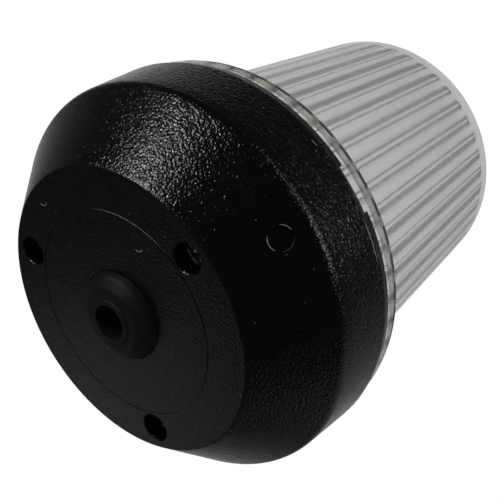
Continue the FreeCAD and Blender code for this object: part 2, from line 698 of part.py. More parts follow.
# ---- electronics ----
def transformer_frame():
    """Common sizes of the transformer: where the core stands and its window."""
    core_z = BOARD_TOP_Z + BOBBIN_FOOT
    window_low = core_z + CORE_LIMB
    window_high = core_z + CORE_HEIGHT - CORE_LIMB
    return core_z, window_low, window_high


def transformer_core():
    """Ferrite core: a frame with a middle limb through the bobbin."""
    core_z, window_low, window_high = transformer_frame()
    core = block((CORE_LENGTH, CORE_WIDTH, CORE_HEIGHT), CORE_PLACE, core_z)
    window = (CORE_LENGTH - 2 * CORE_LIMB, CORE_WIDTH + 2, window_high - window_low)
    core = core.cut(block(window, CORE_PLACE, window_low))
    limb = block((CORE_LIMB, CORE_WIDTH, CORE_HEIGHT), CORE_PLACE, core_z)
    return core.fuse(limb).removeSplitter()


def transformer_bobbin():
    """Plastic former: sleeve round the middle limb, two flanges and two pin rails."""
    core_z, window_low, window_high = transformer_frame()
    sleeve = (CORE_LIMB + 2 * BOBBIN_FLANGE, CORE_WIDTH + 2 * BOBBIN_FLANGE, window_high - window_low)
    flange = (CORE_LENGTH - 2 * CORE_LIMB - 2 * BOBBIN_GAP, BOBBIN_WIDTH, BOBBIN_FLANGE)
    former = block(sleeve, CORE_PLACE, window_low)
    former = former.fuse([block(flange, CORE_PLACE, window_low),
                          block(flange, CORE_PLACE, window_high - BOBBIN_FLANGE)])
    rail_width = (BOBBIN_WIDTH - CORE_WIDTH) / 2 - BOBBIN_GAP
    rail = (flange[0], rail_width, window_low + BOBBIN_FLANGE - BOARD_TOP_Z)
    for side in (-1, 1):
        centre = (CORE_PLACE[0], CORE_PLACE[1] + side * (BOBBIN_WIDTH - rail_width) / 2)
        former = former.fuse(block(rail, centre, BOARD_TOP_Z))
    limb = block((CORE_LIMB, CORE_WIDTH, CORE_HEIGHT), CORE_PLACE, core_z)
    return former.cut(limb).removeSplitter()


def transformer_winding():
    """Wound copper between the bobbin's flanges."""
    core_z, window_low, window_high = transformer_frame()
    low = window_low + BOBBIN_FLANGE
    high = window_high - BOBBIN_FLANGE
    outer = (CORE_LENGTH - 2 * CORE_LIMB - 2 * WINDING_MARGIN, BOBBIN_WIDTH - 2 * WINDING_MARGIN, high - low)
    inner = (CORE_LIMB + 2 * BOBBIN_FLANGE, CORE_WIDTH + 2 * BOBBIN_FLANGE, high - low)
    winding = block(outer, CORE_PLACE, low)
    winding = winding.makeFillet(WINDING_ROUND, upright_edges(winding))
    return winding.cut(block(inner, CORE_PLACE, low))


def upright_edges(shape):
    """Edges that run straight up."""
    found = []
    for edge in shape.Edges:
        ends = [vertex.Point for vertex in edge.Vertexes]
        if len(ends) == 2 and abs(ends[0].z - ends[1].z) > 0.99 * edge.Length:
            found.append(edge)
    return found


def storage_capacitor():
    """Electrolytic can lying along X, with its crimp ring."""
    half = CAPACITOR_LENGTH / 2
    crimp = half - CAPACITOR_CRIMP_FROM_END
    can = turned([
        (0, -half),
        (CAPACITOR_R, -half, CAPACITOR_ROUND),
        (CAPACITOR_R, crimp - CAPACITOR_CRIMP_WIDTH / 2),
        (CAPACITOR_R - CAPACITOR_CRIMP, crimp),
        (CAPACITOR_R, crimp + CAPACITOR_CRIMP_WIDTH / 2),
        (CAPACITOR_R, half, CAPACITOR_ROUND),
        (0, half),
    ])
    can.rotate(ORIGIN, V(0, 1, 0), 90)
    can.translate(V(CAPACITOR_PLACE[0], CAPACITOR_PLACE[1], BOARD_TOP_Z + CAPACITOR_R))
    return can


def trigger_coil():
    """Potted pulse coil standing on the board."""
    top = BOARD_TOP_Z + COIL_HEIGHT
    waist_end = COIL_CHEEK + COIL_WAIST
    coil = turned([
        (0, BOARD_TOP_Z),
        (COIL_R, BOARD_TOP_Z),
        (COIL_R, BOARD_TOP_Z + COIL_CHEEK),
        (COIL_R - COIL_WAIST, BOARD_TOP_Z + waist_end),
        (COIL_R - COIL_WAIST, top - waist_end),
        (COIL_R, top - COIL_CHEEK),
        (COIL_R, top, COIL_ROUND),
        (COIL_DIMPLE_R, top),
        (COIL_DIMPLE_R, top - COIL_DIMPLE_DEPTH),
        (0, top - COIL_DIMPLE_DEPTH),
    ])
    coil.translate(V(COIL_PLACE[0], COIL_PLACE[1], 0))
    return coil


def film_capacitor():
    box = block(FILM_SIZE, FILM_PLACE, BOARD_TOP_Z)
    return box.makeFillet(FILM_ROUND, upright_edges(box))


def timer_chip():
    """Eight-pin package with its key notch."""
    low = BOARD_TOP_Z + CHIP_STAND
    package = block(CHIP_SIZE, CHIP_PLACE, low)
    top = low + CHIP_SIZE[2]
    notch = disc(CHIP_KEY_R, top - CHIP_KEY_DEPTH, top + 1, CHIP_PLACE[0] - CHIP_SIZE[0] / 2, CHIP_PLACE[1])
    return package.cut(notch)


def chip_pins():
    """Pins that leave the package's long sides and bend down to the board."""
    shoulder_z = BOARD_TOP_Z + CHIP_STAND + CHIP_SIZE[2] / 2
    pins = []
    for side in (-1, 1):
        face_y = CHIP_PLACE[1] + side * CHIP_SIZE[1] / 2
        for i in range(CHIP_SIDE_PINS):
            x = CHIP_PLACE[0] + (i - (CHIP_SIDE_PINS - 1) / 2) * CHIP_PITCH
            arm = block((CHIP_PIN_WIDTH, CHIP_PIN_REACH, CHIP_PIN_THICK),
                        (x, face_y + side * CHIP_PIN_REACH / 2), shoulder_z)
            leg = block((CHIP_PIN_WIDTH, CHIP_PIN_THICK, shoulder_z + CHIP_PIN_THICK - BOARD_TOP_Z),
                        (x, face_y + side * (CHIP_PIN_REACH - CHIP_PIN_THICK / 2)), BOARD_TOP_Z)
            pins.append(arm.fuse(leg).removeSplitter())
    return Part.makeCompound(pins)


def power_transistor():
    low = BOARD_TOP_Z + TRANSISTOR_STAND
    return block(TRANSISTOR_SIZE, TRANSISTOR_PLACE, low)


def transistor_tab():
    """Metal back plate with its hole, and the three legs below the body."""
    low = BOARD_TOP_Z + TRANSISTOR_STAND
    back_y = TRANSISTOR_PLACE[1] + (TRANSISTOR_SIZE[1] + TAB_THICK) / 2
    height = TRANSISTOR_SIZE[2] + TAB_RISE
    tab = block((TRANSISTOR_SIZE[0], TAB_THICK, height), (TRANSISTOR_PLACE[0], back_y), low)
    hole_start = V(TRANSISTOR_PLACE[0], back_y - TAB_THICK / 2 - 1, low + height - TAB_HOLE_FROM_TOP)
    hole = Part.makeCylinder(TAB_HOLE_R, TAB_THICK + 2, hole_start, V(0, 1, 0))
    pieces = [tab.cut(hole)]
    for i in (-1, 0, 1):
        centre = (TRANSISTOR_PLACE[0] + i * LEG_PITCH, TRANSISTOR_PLACE[1])
        pieces.append(block((LEG_WIDTH, LEG_WIDTH / 2, TRANSISTOR_STAND), centre, BOARD_TOP_Z))
    return Part.makeCompound(pieces)


def block_ways():
    """Places of the terminal block's ways, across its front."""
    pitch = BLOCK_SIZE[0] / BLOCK_WAYS
    return [BLOCK_PLACE[0] + (i - (BLOCK_WAYS - 1) / 2) * pitch for i in range(BLOCK_WAYS)]


def terminal_block():
    """Two-way block: a well for each screw above, a wire entry for each at the front."""
    body = block(BLOCK_SIZE, BLOCK_PLACE, BOARD_TOP_Z)
    top = BOARD_TOP_Z + BLOCK_SIZE[2]
    front_y = BLOCK_PLACE[1] - BLOCK_SIZE[1] / 2
    cuts = []
    for x in block_ways():
        well_z = top - BLOCK_SCREW_SUNK - BLOCK_SCREW_HEIGHT
        cuts.append(disc(BLOCK_SCREW_R + BLOCK_SCREW_GAP, well_z, top + 1, x, BLOCK_PLACE[1]))
        entry = V(x, front_y - 1, BOARD_TOP_Z + BLOCK_ENTRY_RISE)
        cuts.append(Part.makeCylinder(BLOCK_ENTRY_R, BLOCK_ENTRY_DEPTH + 1, entry, V(0, 1, 0)))
    return body.cut(cuts)


def terminal_screws():
    top = BOARD_TOP_Z + BLOCK_SIZE[2] - BLOCK_SCREW_SUNK
    screws = []
    for x in block_ways():
        head = disc(BLOCK_SCREW_R, top - BLOCK_SCREW_HEIGHT, top, x, BLOCK_PLACE[1])
        slot = block((2 * BLOCK_SCREW_R + 1, SLOT_WIDTH, SLOT_DEPTH), (x, BLOCK_PLACE[1]), top - SLOT_DEPTH)
        screws.append(head.cut(slot))
    return Part.makeCompound(screws)


def axial_body(place, radius, length, waist):
    """Rounded body of a lead-mounted part, lying on the board."""
    half = length / 2
    corners = [(0, -half), (radius, -half, AXIAL_ROUND)]
    if waist > 0:
        corners += [(radius, -half + radius), (radius - waist, -half + radius + waist)]
        corners += [(radius - waist, half - radius - waist), (radius, half - radius)]
    corners += [(radius, half, AXIAL_ROUND), (0, half)]
    body = turned(corners)
    body.rotate(ORIGIN, V(0, 1, 0), 90)
    body.rotate(ORIGIN, UP, place[2])
    body.translate(V(place[0], place[1], BOARD_TOP_Z + radius))
    return body


def bent_lead(start_x, end_x, height):
    """Wire along X at a height above the board, turned down to the board at its end."""
    reach = end_x - start_x
    across = Part.makeCylinder(AXIAL_WIRE_R, abs(reach), V(start_x, 0, height), V(reach, 0, 0))
    elbow = Part.makeSphere(AXIAL_WIRE_R, V(end_x, 0, height))
    down = Part.makeCylinder(AXIAL_WIRE_R, height, V(end_x, 0, 0))
    return across.fuse([elbow, down])


def axial_leads(place, radius, length):
    """Two wires that leave a body's ends and turn down to the board."""
    leads = [bent_lead(side * length / 2, side * AXIAL_SPAN / 2, radius) for side in (-1, 1)]
    for lead in leads:
        lead.rotate(ORIGIN, UP, place[2])
        lead.translate(V(place[0], place[1], BOARD_TOP_Z))
    return leads


def capacitor_leads():
    """Both wires of the storage capacitor, out of its +X end."""
    end_x = CAPACITOR_PLACE[0] + CAPACITOR_LENGTH / 2
    leads = []
    for side in (-1, 1):
        lead = bent_lead(end_x, end_x + CAPACITOR_LEAD_REACH, CAPACITOR_R)
        lead.translate(V(0, CAPACITOR_PLACE[1] + side * CAPACITOR_LEAD_SPACING / 2, BOARD_TOP_Z))
        leads.append(lead)
    return leads


def diodes():
    return Part.makeCompound([axial_body(p, DIODE_R, DIODE_LENGTH, 0) for p in DIODE_PLACES])


def resistors():
    return Part.makeCompound([axial_body(p, RESISTOR_R, RESISTOR_LENGTH, RESISTOR_WAIST)
                              for p in RESISTOR_PLACES])


def component_leads():
    wires = capacitor_leads()
    for place in DIODE_PLACES:
        wires += axial_leads(place, DIODE_R, DIODE_LENGTH)
    for place in RESISTOR_PLACES:
        wires += axial_leads(place, RESISTOR_R, RESISTOR_LENGTH)
    return Part.makeCompound(wires)


PARTS = {
    "base_housing": base_housing,
    "cable_grommet": cable_grommet,
    "lens": lens,
    "lens_seal": lens_seal,
    "circuit_board": circuit_board,
    "board_standoffs": board_standoffs,
    "reflector_plate": reflector_plate,
    "plate_screws": plate_screws,
    "tube_holder": tube_holder,
    "flash_tube": flash_tube,
    "tube_electrodes": tube_electrodes,
    "trigger_wire": trigger_wire,
    "tube_leads": tube_leads,
    "transformer_core": transformer_core,
    "transformer_bobbin": transformer_bobbin,
    "transformer_winding": transformer_winding,
    "storage_capacitor": storage_capacitor,
    "trigger_coil": trigger_coil,
    "film_capacitor": film_capacitor,
    "timer_chip": timer_chip,
    "chip_pins": chip_pins,
    "power_transistor": power_transistor,
    "transistor_tab": transistor_tab,
    "terminal_block": terminal_block,
    "terminal_screws": terminal_screws,
    "diodes": diodes,
    "resistors": resistors,
    "component_leads": component_leads,
}

os.makedirs("parts", exist_ok=True)
for name, make in PARTS.items():
    shape = make()
    shape.exportStep("parts/" + name + ".step")
    low, high = shape.BoundBox.ZMin, shape.BoundBox.ZMax
    print(f"{name}: {len(shape.Solids)} solids, {shape.Volume:.0f} mm3, z {low:.2f} to {high:.2f}, "
          f"valid {shape.isValid()}")
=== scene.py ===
"""Signal beacon lamp: materials, small marks on the base, surroundings, lamps and camera.

Lengths are in millimetres and angles in degrees, except that the lamps are set out in metres.
"""

import math

import bmesh
import bpy
from mathutils import Matrix, Vector


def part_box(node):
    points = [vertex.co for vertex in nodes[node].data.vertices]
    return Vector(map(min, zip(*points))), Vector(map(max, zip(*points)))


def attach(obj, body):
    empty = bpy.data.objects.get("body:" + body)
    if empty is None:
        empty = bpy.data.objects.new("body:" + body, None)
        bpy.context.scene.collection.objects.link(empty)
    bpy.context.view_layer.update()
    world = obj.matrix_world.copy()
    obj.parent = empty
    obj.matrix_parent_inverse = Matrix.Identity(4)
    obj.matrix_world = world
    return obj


MM = 0.001

# ---- forms of the part that the looks follow ----
FACE_R = 35.0
RIM_R = 50.0
CONE_SLOPE = 14.0 / 15.4         # outward run of the cone for its rise
FACE_TO_CONE_Z = (0.05, 0.6)     # the face's skin turns into the cone's grain between these heights
CONE_TO_BAND_Z = (16.5, 18.5)    # and the cone's grain into the band's between these
WITNESS_EDGE_R = 25.4            # outer edge of the ring round the grommet
REED_COUNT = 46
FLANGE_EDGE_R = 48.55            # top edge of the lens flange
FLANGE_EDGE_Z = 37.5

# ---- plastic of the base ----
GRAIN_PER_MM = 1.9
GRAIN_DEPTH = 0.17
BAND_GRAIN_PER_MM = 1.6
BAND_GRAIN_DEPTH = 0.25
FACE_GRAIN_DEPTH = 0.1
DUST_PER_MM = 0.31
DUST_R = (0.02, 0.05)            # a speck of dust fades out between these shares of a cell
DUST_SHARE = 0.8
FACE_ROUGHNESS = 0.27
CONE_ROUGHNESS = 0.19
WORN = (0.85, 1.15)              # factors between which wear changes a roughness
WEAR_PATCHES = (0.3, 0.7)        # from the low to the high parts of a noise from 0 to 1
BLACKS = ((0.0006, 0.0006, 0.0009, 1.0), (0.0010, 0.0010, 0.0017, 1.0))
DUST_GREY = (0.09, 0.09, 0.10, 1.0)

# ---- plastic of the lens ----
LENS_IOR = 1.5
DOME_ROUGHNESS = 0.26
FLANGE_ROUGHNESS = 0.04
FLOW_STRETCH = (1.0, 1.0, 0.15)  # the moulding's flow lines run up the lens
LENS_TINT = (0.80, 0.80, 0.79, 1.0)
WARM_TINT = (0.93, 0.76, 0.58, 1.0)
COOL_TINT = (0.66, 0.78, 0.92, 1.0)
TINT_SHARE = 0.7
WARM_PATCHES = (0.56, 0.66)      # the high parts of a noise from 0 to 1 are warm
COOL_PATCHES = (0.34, 0.44)      # and its low parts cool
LENS_TINT_VARIES = 1.03
FLANGE_TO_DOME_Z = (37.7, 38.5)  # the flange's looks end between these heights
DOME_TO_FLANGE_R = (46.05, 47.05)  # and begin between these radii
# Painted dark refraction: the black base seen through the flange's top edge is painted as a dark blue dash
# over each reed.
PAINTED_REFRACTION_BLUE = (0.008, 0.012, 0.07, 1.0)
PAINTED_REFRACTION_SHARE = 0.95
BETWEEN_PAINTED_DASHES = (0.35, 0.65)    # a painted dash of dark refraction ends as the cosine round the reeds passes between these
PAINTED_DASHES_INSIDE_EDGE = (-0.65, -0.45)  # the painted dashes of dark refraction begin between these distances inside the edge

# ---- rubber, glass, and pale paint for painted highlights and a scratch ----
RUBBER_ROUGHNESS = (0.5, 0.62)
RUBBER_PATCHES = (0.8, 1.3)      # factors on its grey level
GLASS_IOR = 1.47
GLASS_GREYS = (0.9506, 0.98)
HIGHLIGHT_AND_SCRATCH_GREYS = (0.04, 0.28)
HIGHLIGHT_AND_SCRATCH_ROUGHNESS = (0.35, 0.6)

# ---- circuit board ----
PALE_PLY_HIGHLIGHT = 0.55                  # thickness of the pale ply at the board's underside, a painted highlight along the lit cut edge
PLY_BLEND = 0.05                 # and how softly it ends, on either side
EDGE_TO_FACE = (0.5, 0.8)        # upward share of the surface's normal between its edge and its faces
EDGE_ROUGHNESS = 0.6
LACQUER_ROUGHNESS = 0.35
PLY_HIGHLIGHT_COLOURS = ((0.80, 0.80, 0.72, 1.0), (0.95, 0.95, 0.88, 1.0))
EDGE_DARK = (0.05, 0.05, 0.035, 1.0)
LACQUERS = ((0.015, 0.050, 0.022, 1.0), (0.022, 0.070, 0.030, 1.0))

# ---- plain finishes ----
VARIATION = 0.12
# material, colour, roughness, share by which its colour varies, metallic, CAD nodes that wear it
FINISHES = [
    ("pillar_metal", (0.6, 0.56, 0.46), 0.3, VARIATION, 1.0, ["board_standoffs"]),
    ("plate_white", (0.78, 0.78, 0.76), 0.35, 0.02, 0.0, ["reflector_plate"]),
    ("screw_steel", (0.6, 0.6, 0.58), 0.32, VARIATION, 1.0,
     ["plate_screws", "terminal_screws", "transistor_tab"]),
    ("ceramic_white", (0.8, 0.78, 0.73), 0.6, 0.04, 0.0, ["tube_holder"]),
    ("electrode_metal", (0.4, 0.39, 0.37), 0.4, VARIATION, 1.0, ["tube_electrodes"]),
    ("wire_tinned", (0.7, 0.69, 0.65), 0.28, VARIATION, 1.0,
     ["trigger_wire", "chip_pins", "component_leads"]),
    ("wire_sleeve", (0.68, 0.64, 0.52), 0.7, VARIATION, 0.0, ["tube_leads"]),
    ("ferrite", (0.06, 0.06, 0.065), 0.55, VARIATION, 0.0, ["transformer_core"]),
    ("bobbin_plastic", (0.03, 0.03, 0.03), 0.5, VARIATION, 0.0, ["transformer_bobbin"]),
    ("winding_tape", (0.65, 0.48, 0.1), 0.3, VARIATION, 0.0, ["transformer_winding"]),
    ("can_sleeve", (0.02, 0.045, 0.13), 0.28, VARIATION, 0.0, ["storage_capacitor"]),
    ("coil_varnish", (0.25, 0.05, 0.02), 0.25, VARIATION, 0.0, ["trigger_coil"]),
    ("film_box", (0.45, 0.04, 0.03), 0.4, VARIATION, 0.0, ["film_capacitor"]),
    ("package_black", (0.02, 0.02, 0.02), 0.5, VARIATION, 0.0, ["timer_chip", "power_transistor"]),
    ("block_green", (0.03, 0.22, 0.08), 0.4, VARIATION, 0.0, ["terminal_block"]),
    ("diode_black", (0.02, 0.02, 0.02), 0.35, VARIATION, 0.0, ["diodes"]),
    ("resistor_body", (0.5, 0.36, 0.18), 0.35, VARIATION, 0.0, ["resistors"]),
]

# ---- painted highlights and a scratch on the base: beads with these radii ----
BEAD_SIDES = 6
BEAD_TAPER = 0.2                 # each end tapers over this share of the bead's length
BEAD_TIP = 0.25                  # thickness left at the tips
# Painted highlights: a pale crescent on the lit side of each of two nicks in the face.
NICKS = [(-7.6, -18.5), (-30.4, 0.3)]
NICK_CURVE_R = 1.2
NICK_ANGLE = 27.9                # side to which the crescents bulge, the lit side of each nick
NICK_HALF_TURN = 62.0
NICK_BEAD_R = 0.07
# Painted highlight: a pale arc on the lit side of the ring round the grommet.
WITNESS_HIGHLIGHT_TURN = (212.0, 262.0)
WITNESS_BEAD_R = 0.04
MARK_ANGLE = 279.7               # blanked hole on the cone
MARK_Z = 10.4
MARK_SINK = 0.12
MARK_RIM_R = 2.68
HIGHLIGHT_STEPS = 20
# painted highlights on the lit parts of the hole's rim: name, first and last turn from straight up the cone,
# bead radius
MARK_RIM_HIGHLIGHTS = [
    ("mark_rim_highlight_low", 140.0, 222.0, 0.08),
    ("mark_rim_highlight_side", 292.0, 352.0, 0.07),
    ("mark_rim_highlight_top", 20.0, 118.0, 0.012),
]
# Painted highlight: a pale line along the lit lower edge of the lip under the rim.
LIP_HIGHLIGHT_Z = 29.7
LIP_HIGHLIGHT_TURN = (286.0, 297.0)
LIP_HIGHLIGHT_BEAD_R = 0.09
SCRATCH_START = (263.1, 28.99)   # angle and height
SCRATCH_STEP = (0.23, 0.028)
SCRATCH_POINTS = 11
SCRATCH_SINK = 0.1
SCRATCH_BEAD_R = 0.07

# ---- camera ----
IMAGE_PX = 504
FOCAL_PX = 806.05
SENSOR_MM = 36.0
CAMERA_AT = (13.62, -150.69, -104.34)
CAMERA_AHEAD = (-0.0458, 0.7088, 0.7039)
CAMERA_UP = (-0.8162, -0.4329, 0.3827)

# ---- surroundings ----
# Grey levels of the room, in (place, level) stops from the main view's far side (0) to its near side (1).
ROOM_BELOW = [(0.0, 0.35), (0.1, 0.154), (0.275, 0.056), (0.5, 0.028), (0.8, 0.021)]
ROOM_ABOVE_LEFT = [(0.0, 0.9), (0.115, 0.38), (0.175, 0.24), (0.245, 0.065), (0.315, 0.036), (0.8, 0.03)]
ROOM_ABOVE_RIGHT = [(0.0, 0.6), (0.1, 0.25), (0.205, 0.146), (0.345, 0.14), (0.405, 0.05), (0.5, 0.015)]
ROOM_THROUGH_LENS = [(0.0, 0.85), (0.25, 0.75), (0.5, 0.7)]
LEFT_TO_RIGHT_X = (-0.3, 0.3)
BELOW_TO_ABOVE_Z = (0.25, 0.66)
EVEN_LIGHT = 0.8
FLOOR_Z = -3.9
FLOOR_HALF = 1500.0
FLOOR_FADES = (200.0, 800.0)     # distances from the lamp between which the floor fades out
FLOOR_GREY = 0.93

# name, azimuth, elevation, distance, width and height in metres, watts, whether it shows in reflections
LAMPS = [
    ("key", 200.0, -36.0, 0.6, 0.05, 0.24, 1.5, True),
    ("side", 297.0, 10.0, 0.6, 0.22, 0.10, 0.45, True),
    ("side_left", 262.0, 10.0, 0.6, 0.10, 0.08, 0.25, True),
    ("sparkle", 290.0, 20.0, 0.6, 0.05, 0.05, 0.25, True),
    ("wall", 5.0, 10.0, 0.9, 0.70, 0.70, 0.4, True),
    ("below", 84.0, -25.0, 0.7, 0.30, 0.30, 0.1, True),
    ("above", 140.0, 65.0, 0.8, 0.5, 0.5, 0.8, False),
]
LAMPS_AIM = (0.0, 0.0, 0.03)
BASE_LAMPS = ["side", "side_left", "sparkle"]

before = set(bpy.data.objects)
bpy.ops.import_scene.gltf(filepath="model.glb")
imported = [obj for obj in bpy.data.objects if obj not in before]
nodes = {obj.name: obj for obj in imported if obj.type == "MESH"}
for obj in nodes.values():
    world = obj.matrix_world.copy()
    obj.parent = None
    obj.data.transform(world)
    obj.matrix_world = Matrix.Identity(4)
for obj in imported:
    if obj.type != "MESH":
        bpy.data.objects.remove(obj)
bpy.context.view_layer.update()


# ---- helpers ----
def polar(radius, angle):
    """X and Y of a point at an angle about +Z."""
    return radius * math.cos(math.radians(angle)), radius * math.sin(math.radians(angle))


def direction(azimuth, elevation):
    """Unit vector from an angle about +Z and an elevation."""
    flat_x, flat_y = polar(math.cos(math.radians(elevation)), azimuth)
    return Vector((flat_x, flat_y, math.sin(math.radians(elevation))))


def grey(value):
    return (value, value, value, 1.0)


def show(name, data):
    """New object of this data in the scene."""
    thing = bpy.data.objects.new(name, data)
    bpy.context.scene.collection.objects.link(thing)
    return thing


class Graph:
    """Short way to add and link shader nodes."""

    def __init__(self, tree):
        self.tree = tree
        tree.nodes.clear()

    def plug(self, socket, value):
        """Links a socket to another socket, or sets it to a plain value."""
        if isinstance(value, bpy.types.NodeSocket):
            self.tree.links.new(value, socket)
        else:
            socket.default_value = value

    def add(self, kind, **inputs):
        """New node with these inputs; an underscore in a name stands for a space."""
        node = self.tree.nodes.new("ShaderNode" + kind)
        for name, value in inputs.items():
            self.plug(node.inputs[name.replace("_", " ")], value)
        return node

    def coords(self):
        """Object coordinates in millimetres."""
        where = self.add("TexCoord").outputs["Object"]
        return self.add("Mapping", Vector=where, Scale=(1.0 / MM, 1.0 / MM, 1.0 / MM)).outputs["Vector"]

    def split(self, vector):
        """X, Y and Z of a vector."""
        return self.add("SeparateXYZ", Vector=vector).outputs

    def math(self, operation, a, b=0.0):
        node = self.add("Math")
        node.operation = operation
        self.plug(node.inputs[0], a)
        self.plug(node.inputs[1], b)
        return node.outputs[0]

    def vector_math(self, operation, *vectors):
        node = self.add("VectorMath")
        node.operation = operation
        for socket, vector in zip(node.inputs, vectors):
            self.plug(socket, vector)
        return node.outputs["Value"]

    def noise(self, vector, per_mm, detail=2.0, roughness=0.5, distortion=0.0):
        node = self.add("TexNoise", Vector=vector, Scale=per_mm, Detail=detail, Roughness=roughness,
                        Distortion=distortion)
        return node.outputs["Fac"]

    def spread(self, value, low, high, across=(0.0, 1.0)):
        """Turns a value that runs across one range into one that runs from low to high, clamped."""
        node = self.add("MapRange", Value=value, From_Min=across[0], From_Max=across[1],
                        To_Min=low, To_Max=high)
        return node.outputs["Result"]

    def ramp(self, value, stops):
        """Grey level along straight runs between (place, level) stops, places from 0 to 1."""
        node = self.add("ValToRGB", Fac=value)
        elements = node.color_ramp.elements
        while len(elements) < len(stops):
            elements.new(0.5)
        for element, (place, level) in zip(elements, stops):
            element.position = place
            element.color = grey(level)
        return node.outputs["Color"]

    def mix_colour(self, share, a, b):
        node = self.add("Mix")
        node.data_type = "RGBA"
        for place, value in ((0, share), (6, a), (7, b)):
            self.plug(node.inputs[place], value)
        return node.outputs[2]

    def mix_shaders(self, share, a, b):
        node = self.add("MixShader", Fac=share)
        self.plug(node.inputs[1], a.outputs[0])
        self.plug(node.inputs[2], b.outputs[0])
        return node

    def bump(self, height, depth):
        return self.add("Bump", Height=height, Distance=depth * MM, Strength=1.0).outputs["Normal"]

    def finish(self, kind, shader):
        """Leads the shader to the output of a material or a world."""
        self.plug(self.add(kind).inputs["Surface"], shader.outputs[0])


def new_material(name):
    material = bpy.data.materials.new(name)
    material.use_nodes = True
    return material, Graph(material.node_tree)


def wear(node, material):
    """Gives one CAD node its material."""
    mesh = nodes[node].data
    mesh.materials.clear()
    mesh.materials.append(material)


# ---- materials ----
def base_plastic():
    """Leather-grained moulding: deep wrinkles on the cone and the band, a shallow skin on the face."""
    material, g = new_material("base_plastic")
    where = g.coords()
    height = g.split(where)["Z"]
    on_band = g.spread(height, 0.0, 1.0, across=CONE_TO_BAND_Z)
    below_band = g.math("MULTIPLY", g.math("SUBTRACT", 1.0, on_band),
                        g.spread(height, FACE_GRAIN_DEPTH / GRAIN_DEPTH, 1.0, across=FACE_TO_CONE_Z))
    wrinkles = g.noise(where, GRAIN_PER_MM, detail=0.6, roughness=0.45, distortion=0.4)
    coarse = g.noise(where, BAND_GRAIN_PER_MM, detail=0.8, roughness=0.5, distortion=0.4)
    coarse_share = g.math("MULTIPLY", on_band, BAND_GRAIN_DEPTH / GRAIN_DEPTH)
    relief = g.math("ADD", g.math("MULTIPLY", wrinkles, below_band), g.math("MULTIPLY", coarse, coarse_share))
    cells = g.add("TexVoronoi", Vector=where, Scale=DUST_PER_MM).outputs["Distance"]
    dust = g.spread(cells, DUST_SHARE, 0.0, across=DUST_R)
    black = g.mix_colour(g.noise(where, per_mm=0.15, detail=4.0), *BLACKS)
    gloss = g.spread(height, FACE_ROUGHNESS, CONE_ROUGHNESS, across=FACE_TO_CONE_Z)
    worn = g.spread(g.noise(where, per_mm=0.25, detail=3.0), *WORN, across=WEAR_PATCHES)
    shader = g.add("BsdfPrincipled", Base_Color=g.mix_colour(dust, black, DUST_GREY),
                   Roughness=g.math("MULTIPLY", gloss, worn), Specular_IOR_Level=0.3,
                   Normal=g.bump(relief, depth=GRAIN_DEPTH))
    g.finish("OutputMaterial", shader)
    return material


def rubber(name, level, specular):
    """Matt rubber of this grey level, a little uneven."""
    material, g = new_material(name)
    where = g.coords()
    patches = g.noise(where, per_mm=0.5, detail=3.0)
    shader = g.add("BsdfPrincipled", Specular_IOR_Level=specular,
                   Base_Color=g.mix_colour(patches, *(grey(level * share) for share in RUBBER_PATCHES)),
                   Roughness=g.spread(g.noise(where, per_mm=1.2), *RUBBER_ROUGHNESS),
                   Normal=g.bump(g.noise(where, per_mm=3.0), depth=0.02))
    g.finish("OutputMaterial", shader)
    return material


def tube_glass():
    """Clear glass, very slightly uneven."""
    material, g = new_material("tube_glass")
    where = g.coords()
    tint = g.mix_colour(g.noise(where, per_mm=0.05), *map(grey, GLASS_GREYS))
    shader = g.add("BsdfPrincipled", Base_Color=tint, Roughness=0.0, IOR=GLASS_IOR, Transmission_Weight=1.0,
                   Normal=g.bump(g.noise(where, per_mm=0.12), depth=0.02))
    g.finish("OutputMaterial", shader)
    return material


def lens_colour(g, where, radius, height, turn, on_flange):
    """Faint tint, with warm and cool patches on the flange and a painted dark refraction, a dash over each
    reed at its top edge.
    """
    reeds = g.math("COSINE", g.math("MULTIPLY", turn, REED_COUNT))
    over_reed = g.spread(reeds, 1.0, 0.0, across=BETWEEN_PAINTED_DASHES)
    past_edge = g.math("ADD", g.math("SUBTRACT", radius, FLANGE_EDGE_R),
                       g.math("SUBTRACT", height, FLANGE_EDGE_Z))
    # Painted refraction: a dark dash over each reed near the flange's top edge.
    painted_refraction = g.math("MULTIPLY", g.math("MULTIPLY", over_reed, on_flange),
                  g.spread(past_edge, 0.0, PAINTED_REFRACTION_SHARE, across=PAINTED_DASHES_INSIDE_EDGE))
    patches = g.noise(where, per_mm=0.35)
    warm = g.math("MULTIPLY", on_flange, g.spread(patches, 0.0, TINT_SHARE, across=WARM_PATCHES))
    cool = g.math("MULTIPLY", on_flange, g.spread(patches, TINT_SHARE, 0.0, across=COOL_PATCHES))
    paler = tuple(c * LENS_TINT_VARIES for c in LENS_TINT)
    colour = g.mix_colour(g.noise(where, per_mm=0.05), LENS_TINT, paler)
    for share, tint in ((warm, WARM_TINT), (cool, COOL_TINT), (painted_refraction, PAINTED_REFRACTION_BLUE)):
        colour = g.mix_colour(share, colour, tint)
    return colour


def lens_plastic():
    """Clear moulding, satin on the dome and polished on the flange."""
    material, g = new_material("lens_clear")
    where = g.coords()
    x, y, height = g.split(where)
    radius = g.math("SQRT", g.math("ADD", g.math("MULTIPLY", x, x), g.math("MULTIPLY", y, y)))
    on_flange = g.spread(height, 1.0, 0.0, across=FLANGE_TO_DOME_Z)
    polished = g.math("MULTIPLY", on_flange, g.spread(radius, 0.0, 1.0, across=DOME_TO_FLANGE_R))
    colour = lens_colour(g, where, radius, height, g.math("ARCTAN2", y, x), on_flange)
    drawn_up = g.add("Mapping", Vector=where, Scale=FLOW_STRETCH).outputs["Vector"]
    shader = g.add("BsdfPrincipled", Base_Color=colour, IOR=LENS_IOR, Transmission_Weight=1.0,
                   Roughness=g.spread(polished, DOME_ROUGHNESS, FLANGE_ROUGHNESS),
                   Normal=g.bump(g.noise(drawn_up, per_mm=0.45, detail=3.0), depth=0.03))
    g.finish("OutputMaterial", shader)
    return material


